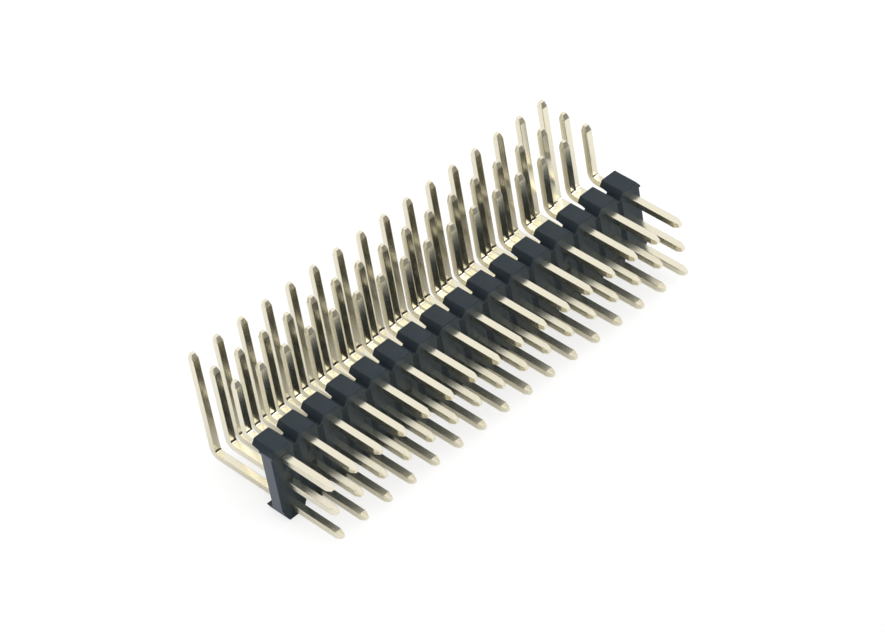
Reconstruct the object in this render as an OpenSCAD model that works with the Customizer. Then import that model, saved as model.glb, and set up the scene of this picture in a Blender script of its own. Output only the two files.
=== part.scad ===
// Right-angle pin header strip: a notched insulator that carries rows of square pins.
// The contact posts point to -Y, the solder tails point up (+Z), and column 1 is at -X.
// The origin is under the middle of the strip, on the plane of the insulator's underside.

/* [Pin grid] */
// Number of columns along the strip
columns = 16; // [2:1:19]
// Number of rows, counted from the top
rows = 3; // [1:1:3]
// Distance between neighbouring pins, both ways
pitch = 2.54; // [2.2:0.01:3]

/* [Insulator] */
// Thickness from the front face to the rear lips
body_t = 2.44; // [2.1:0.02:4]
// Height of plastic above the centre of the top pin row
head_margin = 1.25; // [1.14:0.01:1.6]
// Height of plastic below the centre of the bottom pin row
foot_margin = 1.09; // [1:0.01:1.6]
// Width of the V-shaped notches at their mouth
notch_w = 1.04; // [0.6:0.02:1.3]
// Width of the notches at their floor
notch_floor_w = 0.12; // [0.06:0.02:0.4]
// Depth of the notches in the upper edge
notch_d = 0.68; // [0.4:0.01:0.9]
// Depth of the notches in the lower edge
foot_notch_d = 0.95; // [0.4:0.01:1]
// Width of a breaking groove at its mouth
groove_w = 0.6; // [0.3:0.02:0.8]
// Width of a breaking groove at its floor
groove_floor_w = 0.12; // [0.06:0.02:0.28]
// Depth of the breaking grooves, in the front and in the rear recess
groove_d = 0.25; // [0.1:0.01:0.4]
// Plastic left between a notch and the end of a groove
groove_gap = 0.12; // [0.06:0.01:0.5]
// Depth of the rear recess between the lips
recess_d = 0.88; // [0.2:0.01:1]
// Thickness of a lip at its rear edge
lip_edge_t = 0.5; // [0.2:0.01:0.58]
// Thickness of a lip where it leaves the recess floor
lip_root_t = 0.6; // [0.52:0.01:0.74]
// Plastic missing from each end of the strip, where it was parted
end_trim = 0.08; // [0:0.01:0.2]

/* [Pins] */
// Width of the square wire
pin_w = 0.64; // [0.5:0.01:0.7]
// Corner cut on the four long edges of the wire
pin_edge = 0.04; // [0.02:0.01:0.1]
// Length of a contact post in front of the insulator
post_len = 5.5; // [3:0.05:12]
// Height of the tail tips above the insulator
tail_reach = 4.31; // [2:0.01:8]
// Distance from the rear lips to the middle of the first row of tails
first_tail = 1.87; // [1.3:0.01:4]
// Radius on the inside of a bend
bend_r = 0.28; // [0.1:0.01:0.4]
// Length of the taper at a pin's tip
tip_len = 0.5; // [0.2:0.01:1]
// Width of the blunt end of a pin
tip_w = 0.36; // [0.2:0.01:0.45]
// Clearance round a pin in its hole
pin_fit = 0.01; // [0.005:0.005:0.03]

/* [Hidden] */
insulator_grey = [0.17, 0.19, 0.22];
contact_gold = [0.87, 0.82, 0.64];
// Facets on a full turn of the bend, and the overlap of a cut with open air
bend_fn = 64;
air = 1;

strip_len = columns * pitch - 2 * end_trim;
body_h = foot_margin + (rows - 1) * pitch + head_margin;
recess_floor = body_t - recess_d;
bend_mid_r = bend_r + pin_w / 2;
depth = post_len + body_t + first_tail + (rows - 1) * pitch + pin_w / 2;
front_y = post_len - depth / 2;
tip_z = body_h + tail_reach;

function col_x(c) = (c - (columns - 1) / 2) * pitch;
function row_z(r) = body_h - head_margin - r * pitch;
function tail_y(r) = front_y + body_t + first_tail + r * pitch;
function two_digits(n) = n < 10 ? str("0", n) : str(n);
function pin_name(r, c) = str("pin_row", r + 1, "_col", two_digits(c + 1));

// Cross-section of the wire, a square with its corners cut, grown by a gap on every side
module wire_section(gap = 0) {
    half = pin_w / 2 + gap;
    flat = half - pin_edge;
    polygon([
        [-half, -flat], [-flat, -half], [flat, -half], [half, -flat],
        [half, flat], [flat, half], [-flat, half], [-half, flat]
    ]);
}

// Side view of a straight length of pin whose upper end narrows to its tip
module tip_outline(len) {
    polygon([
        [-pin_w, 0], [pin_w, 0], [pin_w / 2, len - tip_len], [tip_w / 2, len],
        [-tip_w / 2, len], [-pin_w / 2, len - tip_len]
    ]);
}

// A straight length of wire along +Z from the origin, tapered on four sides at its far end
module tipped_wire(len) {
    intersection() {
        linear_extrude(len) wire_section();
        rotate([90, 0, 0]) linear_extrude(2 * pin_w, center = true) tip_outline(len);
        rotate([90, 0, 90]) linear_extrude(2 * pin_w, center = true) tip_outline(len);
    }
}

// A quarter turn of wire in the YZ plane, from the end of the run to the foot of the tail
module bend() {
    translate([0, -bend_mid_r, bend_mid_r])
        rotate([0, -90, 0])
            rotate([0, 0, 90])
                rotate_extrude(angle = 90, $fn = bend_fn)
                    translate([bend_mid_r, 0]) wire_section();
}

// One pin: the post and the run through the insulator, the bend, and the tail
module pin(r, c) {
    run_len = tail_y(r) - bend_mid_r + depth / 2;
    tail_len = tip_z - row_z(r) - bend_mid_r;
    color(contact_gold)
        translate([col_x(c), 0, row_z(r)]) {
            translate([0, tail_y(r) - bend_mid_r, 0]) rotate([90, 0, 0]) tipped_wire(run_len);
            translate([0, tail_y(r), 0]) bend();
            translate([0, tail_y(r), bend_mid_r]) tipped_wire(tail_len);
        }
}

// Side view of one column of the insulator: Y to the right, Z up, front face at 0
module body_outline() {
    polygon([
        [0, 0], [body_t, 0], [body_t, lip_edge_t], [recess_floor, lip_root_t],
        [recess_floor, body_h - lip_root_t], [body_t, body_h - lip_edge_t], [body_t, body_h], [0, body_h]
    ]);
}

// A narrowing cut into a face at 0 towards +Y, open on the near side
module tapered_cut(mouth_w, floor_w, cut_d) {
    polygon([
        [-mouth_w / 2, -air], [mouth_w / 2, -air], [mouth_w / 2, 0],
        [floor_w / 2, cut_d], [-floor_w / 2, cut_d], [-mouth_w / 2, 0]
    ]);
}

// A V-shaped notch that runs along Y through the whole insulator, cut upwards from 0
module notch(cut_d) {
    translate([0, body_t + air, 0])
        rotate([90, 0, 0])
            linear_extrude(body_t + 2 * air) tapered_cut(notch_w, notch_floor_w, cut_d);
}

// An upright breaking groove that ends a little short of the notches, cut towards +Y from 0
module groove() {
    translate([0, 0, foot_notch_d + groove_gap])
        linear_extrude(body_h - notch_d - foot_notch_d - 2 * groove_gap)
            tapered_cut(groove_w, groove_floor_w, groove_d);
}

// The cuts between two columns: notches above and below, grooves in front and behind
module column_cuts() {
    notch(foot_notch_d);
    translate([0, 0, body_h]) mirror([0, 0, 1]) notch(notch_d);
    groove();
    translate([0, recess_floor, 0]) mirror([0, 1, 0]) groove();
}

// The insulator: one extrusion, parted into columns and pierced for the pins
module insulator() {
    color(insulator_grey)
        translate([0, front_y, 0])
            difference() {
                rotate([90, 0, 90]) linear_extrude(strip_len, center = true) body_outline();
                for (c = [0 : columns])
                    translate([col_x(c) - pitch / 2, 0, 0]) column_cuts();
                for (r = [0 : rows - 1], c = [0 : columns - 1])
                    translate([col_x(c), -air, row_z(r)])
                        rotate([-90, 0, 0]) linear_extrude(body_t + 2 * air) wire_section(pin_fit);
            }
}

insulator();
for (r = [0 : rows - 1], c = [0 : columns - 1])
    pin(r, c);
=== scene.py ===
"""The looks of a right-angle pin header strip: three rows of bent square pins in a notched insulator."""

import math

import bmesh
import bpy
from mathutils import Matrix, Vector


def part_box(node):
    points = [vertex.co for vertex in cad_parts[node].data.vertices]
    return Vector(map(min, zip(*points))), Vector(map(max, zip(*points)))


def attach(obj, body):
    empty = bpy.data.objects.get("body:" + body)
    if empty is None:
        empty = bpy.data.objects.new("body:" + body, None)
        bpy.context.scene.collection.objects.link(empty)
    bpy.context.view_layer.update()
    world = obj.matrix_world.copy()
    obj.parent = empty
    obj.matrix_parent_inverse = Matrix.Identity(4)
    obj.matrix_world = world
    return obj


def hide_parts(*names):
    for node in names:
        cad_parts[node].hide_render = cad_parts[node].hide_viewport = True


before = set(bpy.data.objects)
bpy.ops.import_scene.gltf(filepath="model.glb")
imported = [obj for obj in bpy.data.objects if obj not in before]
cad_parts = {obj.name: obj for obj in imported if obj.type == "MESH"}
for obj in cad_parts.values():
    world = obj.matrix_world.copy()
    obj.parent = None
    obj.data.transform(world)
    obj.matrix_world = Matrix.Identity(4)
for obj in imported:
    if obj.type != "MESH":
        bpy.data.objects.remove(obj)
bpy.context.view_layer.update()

# The insulator is one moulding of dark, glass-filled plastic, parted from a longer strip. Its two end faces are
# painted paler, a painted highlight that stands in for the light they catch on the open sides. Its solid is taken
# over as it is, its facets are joined into whole faces, and every outer edge gets the small radius that a worn
# mould leaves, with a wider one along the upper front edge of each column.

MM = 0.001
PER_METRE = 1 / MM
MOULD_RADIUS = 0.055
MOULD_SEGMENTS = 2
BROW_RADIUS = 0.17
BROW_SEGMENTS = 4
ROUNDED_FROM = math.radians(35)
WIRE_WIDTH = 0.64
HOLE_REACH = 0.4
MERGE_GAP = 1e-5
FLAT_ANGLE = math.radians(0.5)


def merged_solid(node):
    """The solid's mesh in millimetres, with its loose triangles joined into whole faces."""
    bm = bmesh.new()
    bm.from_mesh(node.data)
    bmesh.ops.scale(bm, vec=(PER_METRE,) * 3, verts=bm.verts)
    bmesh.ops.remove_doubles(bm, verts=bm.verts, dist=MERGE_GAP)
    bmesh.ops.dissolve_limit(bm, angle_limit=FLAT_ANGLE, verts=bm.verts, edges=bm.edges)
    return bm


def round_edges(bm, edges, radius, segments):
    """Rounds the edges given, by an arc of that radius."""
    bmesh.ops.bevel(bm, geom=edges, offset=radius, offset_type="OFFSET", affect="EDGES", segments=segments,
                    profile=0.5, material=-1)


def middle_of(edge):
    """The point halfway along an edge."""
    return (edge.verts[0].co + edge.verts[1].co) / 2


def outer_edges(bm, pin_lines):
    """The outward edges of the insulator, without the mouths of the holes round the pins' own lines."""
    for edge in list(bm.edges):
        x, _, z = middle_of(edge)
        at_hole = any(max(abs(x - pin_x), abs(z - pin_z)) < HOLE_REACH for pin_x, pin_z in pin_lines)
        if not at_hole and edge.calc_face_angle_signed(0) > ROUNDED_FROM:
            yield edge


def finished_piece(bm, name, material, slot, *nodes):
    """Brings a mesh in millimetres to metres, as a piece that stands for the nodes given."""
    bmesh.ops.scale(bm, vec=(MM,) * 3, verts=bm.verts)
    mesh = bpy.data.meshes.new(name)
    bm.to_mesh(mesh)
    bm.free()
    mesh.polygons.foreach_set("use_smooth", [True] * len(mesh.polygons))
    mesh.materials.append(material)
    piece = bpy.data.objects.new(name, mesh)
    bpy.context.scene.collection.objects.link(piece)
    shading = piece.modifiers.new("even_shading", "WEIGHTED_NORMAL")
    shading.keep_sharp = True
    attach(piece, "root")
    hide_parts(*nodes)
    return piece


class Value:
    """A shader value that takes part in plain arithmetic."""

    def __init__(self, shader, socket):
        self.shader = shader
        self.socket = socket

    def math(self, operation, *others):
        return self.shader.node("ShaderNodeMath", {"operation": operation}, dict(enumerate((self, *others))))

    def __add__(self, other):
        return self.math("ADD", other)

    def __mul__(self, other):
        return self.math("MULTIPLY", other)

    def __gt__(self, other):
        return self.math("GREATER_THAN", other)

    def __abs__(self):
        return self.math("ABSOLUTE")

    __radd__ = __add__
    __rmul__ = __mul__


class Shader:
    """The nodes of a material or of a world."""

    def __init__(self, owner, end_kind="ShaderNodeOutputMaterial"):
        self.owner = owner
        self.end_kind = end_kind
        owner.use_nodes = True
        self.tree = owner.node_tree
        self.tree.nodes.clear()

    def node(self, kind, settings=None, inputs=None, output=0):
        """Makes a node, sets it, fills its sockets with values or links, and gives one of its outputs."""
        made = self.tree.nodes.new(kind)
        for key, setting in (settings or {}).items():
            setattr(made, key, setting)
        for key, given in (inputs or {}).items():
            if isinstance(given, Value):
                self.tree.links.new(given.socket, made.inputs[key])
            else:
                made.inputs[key].default_value = given
        return Value(self, made.outputs[output])

    def finish(self, surface):
        """Shows a shader on the surface, and gives the material or the world."""
        end = self.tree.nodes.new(self.end_kind)
        self.tree.links.new(surface.socket, end.inputs["Surface"])
        return self.owner


PLASTIC_DARK = (0.010, 0.015, 0.022, 1)
PLASTIC_PALE = (0.017, 0.024, 0.033, 1)
# Painted light: the pale colour of the two end faces stands in for the light they catch. It is set within a thin
# depth of each end and speckled by the grain.
PLASTIC_END_LIGHT = (0.130, 0.145, 0.180, 1)
PLASTIC_SHEEN = (0.74, 0.90, 1.0, 1)
END_LIGHT_DEPTH = 0.03
END_LIGHT_LEAST = 0.5
END_LIGHT_GRAIN = 0.6
MOTTLES_PER_MM = 1.4
GRAINS_PER_MM = 9.0
MOTTLE_SHARE = 0.6
GRAIN_SHARE = 0.4
RELIEF_STRENGTH = 0.35
RELIEF_HEIGHT = 0.02
PLASTIC_ROUGHNESS = 0.42
GRAIN_ROUGHNESS = 0.12
PLASTIC_IOR = 1.5

body_low, body_high = (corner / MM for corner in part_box("insulator"))

plastic = Shader(bpy.data.materials.new("insulator_plastic"))
place = plastic.node("ShaderNodeTexCoord", output="Object")
mottle = plastic.node("ShaderNodeTexNoise", inputs={"Vector": place, "Scale": MOTTLES_PER_MM * PER_METRE,
                                                    "Detail": 4.0})
grain = plastic.node("ShaderNodeTexNoise", inputs={"Vector": place, "Scale": GRAINS_PER_MM * PER_METRE,
                                                   "Detail": 3.0})
tone = plastic.node("ShaderNodeMix", {"data_type": "RGBA"},
                    {"Factor": mottle, "A": PLASTIC_DARK, "B": PLASTIC_PALE}, output="Result")
across = plastic.node("ShaderNodeSeparateXYZ", inputs={"Vector": place}, output="X")
# Painted light: the two end faces are masked here and painted paler, for the light they catch.
painted_end_light = abs(across) > (body_high.x - END_LIGHT_DEPTH) * MM
tone_with_end_light = plastic.node("ShaderNodeMix", {"data_type": "RGBA"},
                    {"Factor": painted_end_light * (END_LIGHT_LEAST + grain * END_LIGHT_GRAIN), "A": tone, "B": PLASTIC_END_LIGHT},
                    output="Result")
relief = plastic.node("ShaderNodeBump", inputs={"Height": mottle * MOTTLE_SHARE + grain * GRAIN_SHARE,
                                                "Strength": RELIEF_STRENGTH, "Distance": RELIEF_HEIGHT * MM})
insulator_plastic = plastic.finish(plastic.node(
    "ShaderNodeBsdfPrincipled",
    inputs={"Base Color": tone_with_end_light, "Roughness": PLASTIC_ROUGHNESS + GRAIN_ROUGHNESS * grain, "Normal": relief,
            "IOR": PLASTIC_IOR, "Specular Tint": PLASTIC_SHEEN}))

pin_boxes = {name: [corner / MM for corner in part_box(name)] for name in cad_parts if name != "insulator"}
pin_lines = {((low.x + high.x) / 2, low.z + WIRE_WIDTH / 2) for low, high in pin_boxes.values()}

moulding = merged_solid(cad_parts["insulator"])
brows = [edge for edge in outer_edges(moulding, pin_lines)
         if (middle_of(edge) - Vector((middle_of(edge).x, body_low.y, body_high.z))).length < MERGE_GAP]
round_edges(moulding, brows, BROW_RADIUS, BROW_SEGMENTS)
round_edges(moulding, list(outer_edges(moulding, pin_lines)), MOULD_RADIUS, MOULD_SEGMENTS)
finished_piece(moulding, "insulator_moulding", insulator_plastic, "insulator_plastic", "insulator")

# The pins are drawn square wire of brass with a thin, pale gold plating. Each is cut to length, pointed on four
# sides at both ends by the cutting tool, pressed through the insulator and bent once behind it.

CORNER_RADIUS = 0.05
CORNER_SEGMENTS = 3
TIP_LENGTH = 0.5
TIP_WIDTH = 0.36
BEND_RADIUS = 0.6
BEND_STEPS = 12

GOLD_PALE = (0.91, 0.87, 0.71, 1)
GOLD_DEEP = (0.86, 0.80, 0.63, 1)
STREAKS_PER_MM = (5.0, 5.0, 0.25)
COLUMN_SHIFT = 3.1
ROW_SHIFT = 1.7
CLOUDS_PER_MM = 0.35
STREAK_SHARE = 0.5
DRAWN_STRENGTH = 0.012
DRAWN_HEIGHT = 0.01
GOLD_ROUGHNESS = 0.2
STREAK_ROUGHNESS = 0.05

gold = Shader(bpy.data.materials.new("gold_plated_wire"))
along_wire = gold.node("ShaderNodeAttribute", {"attribute_name": "wire_place"}, output="Vector")
stretched = gold.node("ShaderNodeVectorMath", {"operation": "MULTIPLY"}, {0: along_wire, 1: STREAKS_PER_MM})
streaks = gold.node("ShaderNodeTexNoise", inputs={"Vector": stretched, "Scale": 1.0, "Detail": 3.0})
cloud = gold.node("ShaderNodeTexNoise", inputs={"Vector": gold.node("ShaderNodeTexCoord", output="Object"),
                                                "Scale": CLOUDS_PER_MM * PER_METRE, "Detail": 2.0})
plating = gold.node("ShaderNodeMix", {"data_type": "RGBA"},
                    {"Factor": streaks * STREAK_SHARE + cloud * (1 - STREAK_SHARE), "A": GOLD_PALE, "B": GOLD_DEEP},
                    output="Result")
drawn = gold.node("ShaderNodeBump", inputs={"Height": streaks, "Strength": DRAWN_STRENGTH,
                                             "Distance": DRAWN_HEIGHT * MM})
gold_wire = gold.finish(gold.node(
    "ShaderNodeBsdfPrincipled",
    inputs={"Base Color": plating, "Metallic": 1.0, "Roughness": GOLD_ROUGHNESS + STREAK_ROUGHNESS * streaks,
            "Normal": drawn}))


def next_ring(bm, edges, move, width_ratio=1.0):
    """Extrudes a ring of edges, moves the new ring and narrows or widens it about its centre."""
    made = bmesh.ops.extrude_edge_only(bm, edges=edges)["geom"]
    verts = [item for item in made if isinstance(item, bmesh.types.BMVert)]
    bmesh.ops.translate(bm, vec=move, verts=verts)
    middle = sum((vert.co for vert in verts), Vector()) / len(verts)
    bmesh.ops.scale(bm, vec=(width_ratio,) * 3, space=Matrix.Translation(-middle), verts=verts)
    return [item for item in made if isinstance(item, bmesh.types.BMEdge)]


def bent_pin(low, high):
    """A pin in millimetres that fills the box from low to high: tail up, bend, run and post towards -Y."""
    half = WIRE_WIDTH / 2
    x = (low.x + high.x) / 2
    tail_y, run_z = high.y - half, low.z + half
    bm = bmesh.new()
    bmesh.ops.create_circle(bm, segments=4, radius=half * math.sqrt(2),
                            matrix=Matrix.Translation((x, tail_y, high.z)) @ Matrix.Rotation(math.pi / 4, 4, "Z"))
    bmesh.ops.bevel(bm, geom=bm.verts, offset=CORNER_RADIUS, offset_type="OFFSET", affect="VERTICES",
                    segments=CORNER_SEGMENTS, profile=0.5, material=-1)
    tail_end = list(bm.edges)
    bmesh.ops.scale(bm, vec=(TIP_WIDTH / WIRE_WIDTH,) * 3, space=Matrix.Translation((-x, -tail_y, -high.z)),
                    verts=bm.verts)
    tail_shoulder = next_ring(bm, tail_end, (0, 0, -TIP_LENGTH), WIRE_WIDTH / TIP_WIDTH)
    ring = next_ring(bm, tail_shoulder, (0, 0, run_z + BEND_RADIUS - (high.z - TIP_LENGTH)))
    turned = bmesh.ops.spin(bm, geom=ring + list({vert for edge in ring for vert in edge.verts}),
                            cent=(x, tail_y - BEND_RADIUS, run_z + BEND_RADIUS), axis=(1, 0, 0), dvec=(0, 0, 0),
                            angle=-math.pi / 2, steps=BEND_STEPS, use_merge=False, use_normal_flip=False,
                            use_duplicate=False)["geom_last"]
    ring = [item for item in turned if isinstance(item, bmesh.types.BMEdge)]
    post_shoulder = next_ring(bm, ring, (0, low.y + TIP_LENGTH - (tail_y - BEND_RADIUS), 0))
    post_end = next_ring(bm, post_shoulder, (0, -TIP_LENGTH, 0), TIP_WIDTH / WIRE_WIDTH)
    for edge in tail_end + tail_shoulder + post_shoulder + post_end:
        edge.smooth = False
    bmesh.ops.holes_fill(bm, edges=tail_end + post_end, sides=0)
    bmesh.ops.recalc_face_normals(bm, faces=bm.faces)
    mark_along_wire(bm, Vector((x, tail_y - BEND_RADIUS, run_z + BEND_RADIUS)))
    return bm


def mark_along_wire(bm, bend_centre):
    """Gives each point its place on the wire as if it were straight: across, through and along, in millimetres.

    The place is shifted from column to column and from row to row, so that no two pins share their streaks.
    """
    layer = bm.verts.layers.float_vector.new("wire_place")
    for vert in bm.verts:
        across, y, z = vert.co - bend_centre
        if y < 0 and z < 0:
            through, along = -z, y
        elif y > 0 and z > 0:
            through, along = y, z + BEND_RADIUS * math.pi / 2
        else:
            through, along = math.hypot(y, z), BEND_RADIUS * math.atan2(y, -z)
        vert[layer] = (across + bend_centre.x * COLUMN_SHIFT, through + bend_centre.z * ROW_SHIFT, along)


for node_name, (low, high) in sorted(pin_boxes.items()):
    finished_piece(bent_pin(low, high), node_name.replace("pin", "wire"), gold_wire, "gold_plated_wire", node_name)

# The strip stands on a sheet of white paper in a light tent. The tent is bright overhead, brighter still in one
# patch above the posts' tips, and dark near the horizon, which draws the dark sides of the plated wires.

PAPER_SIZE = (0.130, 0.085)
PAPER_BACK = 0.0175
PAPER_DROP = 0.01 * MM
PAPER_WHITE = (0.95, 0.955, 0.96, 1)
PAPER_GLOW = 1.17
WHITE = (1, 1, 1, 1)
SEEN_SHARE = 0.6

paper = Shader(bpy.data.materials.new("white_table"))
seen = paper.node("ShaderNodeLightPath", output="Is Camera Ray")
paper_lit = paper.node("ShaderNodeBsdfDiffuse", inputs={"Color": PAPER_WHITE})
paper_seen = paper.node("ShaderNodeEmission", inputs={"Color": WHITE, "Strength": PAPER_GLOW})
white_table = paper.finish(paper.node("ShaderNodeMixShader",
                                      inputs={0: seen * SEEN_SHARE, 1: paper_lit, 2: paper_seen}))

table = bmesh.new()
bmesh.ops.create_grid(table, x_segments=1, y_segments=1, size=0.5)
bmesh.ops.scale(table, vec=(*PAPER_SIZE, 1), verts=table.verts)
bmesh.ops.translate(table, vec=(0, PAPER_BACK, -PAPER_DROP), verts=table.verts)
table_mesh = bpy.data.meshes.new("table")
table.to_mesh(table_mesh)
table.free()
table_mesh.materials.append(white_table)
table_top = bpy.data.objects.new("table", table_mesh)
bpy.context.scene.collection.objects.link(table_top)

HORIZON_GLOW = 0.22
CEILING_GLOW = 0.97
CEILING_FROM, CEILING_TO = 0.05, 0.5
WINDOW_WAY = (0.45, -0.66, 0.6)
WINDOW_FROM, WINDOW_TO = 0.84, 0.96
WINDOW_GLOW = 1.3

tent = Shader(bpy.data.worlds.new("light_tent"), "ShaderNodeOutputWorld")
way = tent.node("ShaderNodeTexCoord", output="Generated")
height = tent.node("ShaderNodeSeparateXYZ", inputs={"Vector": way}, output="Z")
ceiling = tent.node("ShaderNodeMapRange", {"interpolation_type": "SMOOTHSTEP"},
                    {"Value": height, "From Min": CEILING_FROM, "From Max": CEILING_TO})
toward_window = tent.node("ShaderNodeVectorMath", {"operation": "DOT_PRODUCT"}, {0: way, 1: WINDOW_WAY},
                          output="Value")
window = tent.node("ShaderNodeMapRange", {"interpolation_type": "SMOOTHSTEP"},
                   {"Value": toward_window, "From Min": WINDOW_FROM, "From Max": WINDOW_TO})
glow = HORIZON_GLOW + (CEILING_GLOW - HORIZON_GLOW + WINDOW_GLOW * window) * ceiling
tent_light = tent.node("ShaderNodeBackground", inputs={"Color": WHITE, "Strength": glow})
tent_seen = tent.node("ShaderNodeBackground", inputs={"Color": WHITE, "Strength": 1.0})
bpy.context.scene.world = tent.finish(tent.node(
    "ShaderNodeMixShader",
    inputs={0: tent.node("ShaderNodeLightPath", output="Is Camera Ray"), 1: tent_light, 2: tent_seen}))

# The camera stands where the photograph was taken from: to the left of the posts and above them, far off with a
# long lens, and turned a little about its own line of sight.

CAMERA_AIM = Vector((0.53, 1.02, 4.95)) * MM
CAMERA_DISTANCE = 304.5 * MM
CAMERA_AZIMUTH = math.radians(-36.785)
CAMERA_ELEVATION = math.radians(41.05)
CAMERA_ROLL = math.radians(-10.49)
CAMERA_LENS = 156.25
CAMERA_SENSOR = 36
CAMERA_NEAR = 0.01

outward = Vector((math.sin(CAMERA_AZIMUTH) * math.cos(CAMERA_ELEVATION),
                  -math.cos(CAMERA_AZIMUTH) * math.cos(CAMERA_ELEVATION), math.sin(CAMERA_ELEVATION)))
camera_data = bpy.data.cameras.new("camera")
camera_data.lens = CAMERA_LENS
camera_data.sensor_width = CAMERA_SENSOR
camera_data.clip_start = CAMERA_NEAR
camera = bpy.data.objects.new("camera", camera_data)
level = outward.to_track_quat("Z", "Y").to_matrix().to_4x4()
camera.matrix_world = (Matrix.Translation(CAMERA_AIM + outward * CAMERA_DISTANCE) @ level
                       @ Matrix.Rotation(CAMERA_ROLL, 4, "Z"))
bpy.context.scene.collection.objects.link(camera)
bpy.context.scene.camera = camera
bpy.context.scene.view_settings.view_transform = "Standard"
